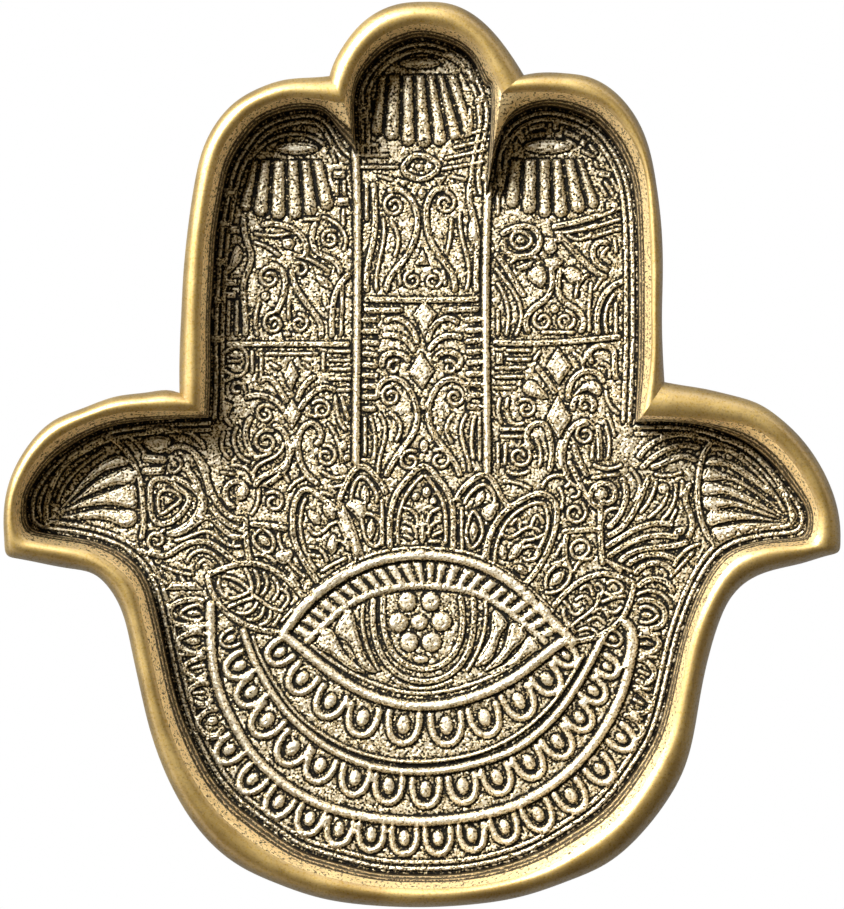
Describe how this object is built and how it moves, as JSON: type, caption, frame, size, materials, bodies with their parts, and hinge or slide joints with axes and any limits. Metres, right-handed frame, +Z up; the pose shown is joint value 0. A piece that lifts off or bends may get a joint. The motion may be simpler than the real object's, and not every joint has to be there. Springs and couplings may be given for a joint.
{
  "type": "hamsa hand trinket dish",
  "caption": "Shallow cast hamsa hand dish with a rolled polished rim and a floor full of raised antique brass ornament round a central eye.",
  "frame": {"origin": "middle of the outline, on the surface that the dish stands on", "axes": "+Y to the tip of the middle finger, +X to the right-hand thumb seen from above, +Z up out of the dish"},
  "size_m": [0.1399, 0.1512, 0.015],
  "materials": {
    "polished_rim": "brushed and polished, antique gold",
    "dark_ground": "sand-cast, blackened in the hollows",
    "raised_work": "sand-cast, rubbed bright on the high places",
    "pads": "matte"
  },
  "bodies": {
    "root": {"border_line_inner": "raised_work", "border_line_outer": "raised_work", "crescent_eye": "raised_work", "crescent_outer": "raised_work", "divider_left": "raised_work", "divider_right": "raised_work", "eye_crescents": "raised_work", "eye_flower": "raised_work", "eye_iris_rings": "raised_work", "eye_lashes": "raised_work", "eye_lid_lower": "raised_work", "eye_lid_upper": "raised_work", "feathers_left": "raised_work", "feathers_right": "raised_work", "floor_plate": "dark_ground", "left_finger_crown": "raised_work", "left_finger_flutes": "raised_work", "left_finger_frets": "raised_work", "left_finger_lyre": "raised_work", "left_finger_palmette": "raised_work", "left_finger_scrolls": "raised_work", "middle_finger_crown": "raised_work", "middle_finger_flutes": "raised_work", "middle_finger_frets": "raised_work", "middle_finger_lyre": "raised_work", "middle_finger_palmette": "raised_work", "middle_finger_scrolls": "raised_work", "pad_finger_left": "pads", "pad_finger_right": "pads", "pad_palm_left": "pads", "pad_palm_right": "pads", "panel_bars": "raised_work", "petal_centre": "raised_work", "petal_left_inner": "raised_work", "petal_left_outer": "raised_work", "petal_left_side": "raised_work", "petal_right_inner": "raised_work", "petal_right_outer": "raised_work", "petal_right_side": "raised_work", "right_finger_crown": "raised_work", "right_finger_flutes": "raised_work", "right_finger_frets": "raised_work", "right_finger_lyre": "raised_work", "right_finger_palmette": "raised_work", "right_finger_scrolls": "raised_work", "rim_and_wall": "polished_rim", "scallops_eye": "raised_work", "scallops_middle": "raised_work", "scallops_outer": "raised_work", "scroll_left_large": "raised_work", "scroll_right_large": "raised_work", "side_leaf_left": "raised_work", "side_leaf_right": "raised_work", "side_loops_left": "raised_work", "side_loops_right": "raised_work", "strapwork_left": "raised_work", "strapwork_right": "raised_work", "wave_bands_left": "raised_work"}
  },
  "joints": []
}
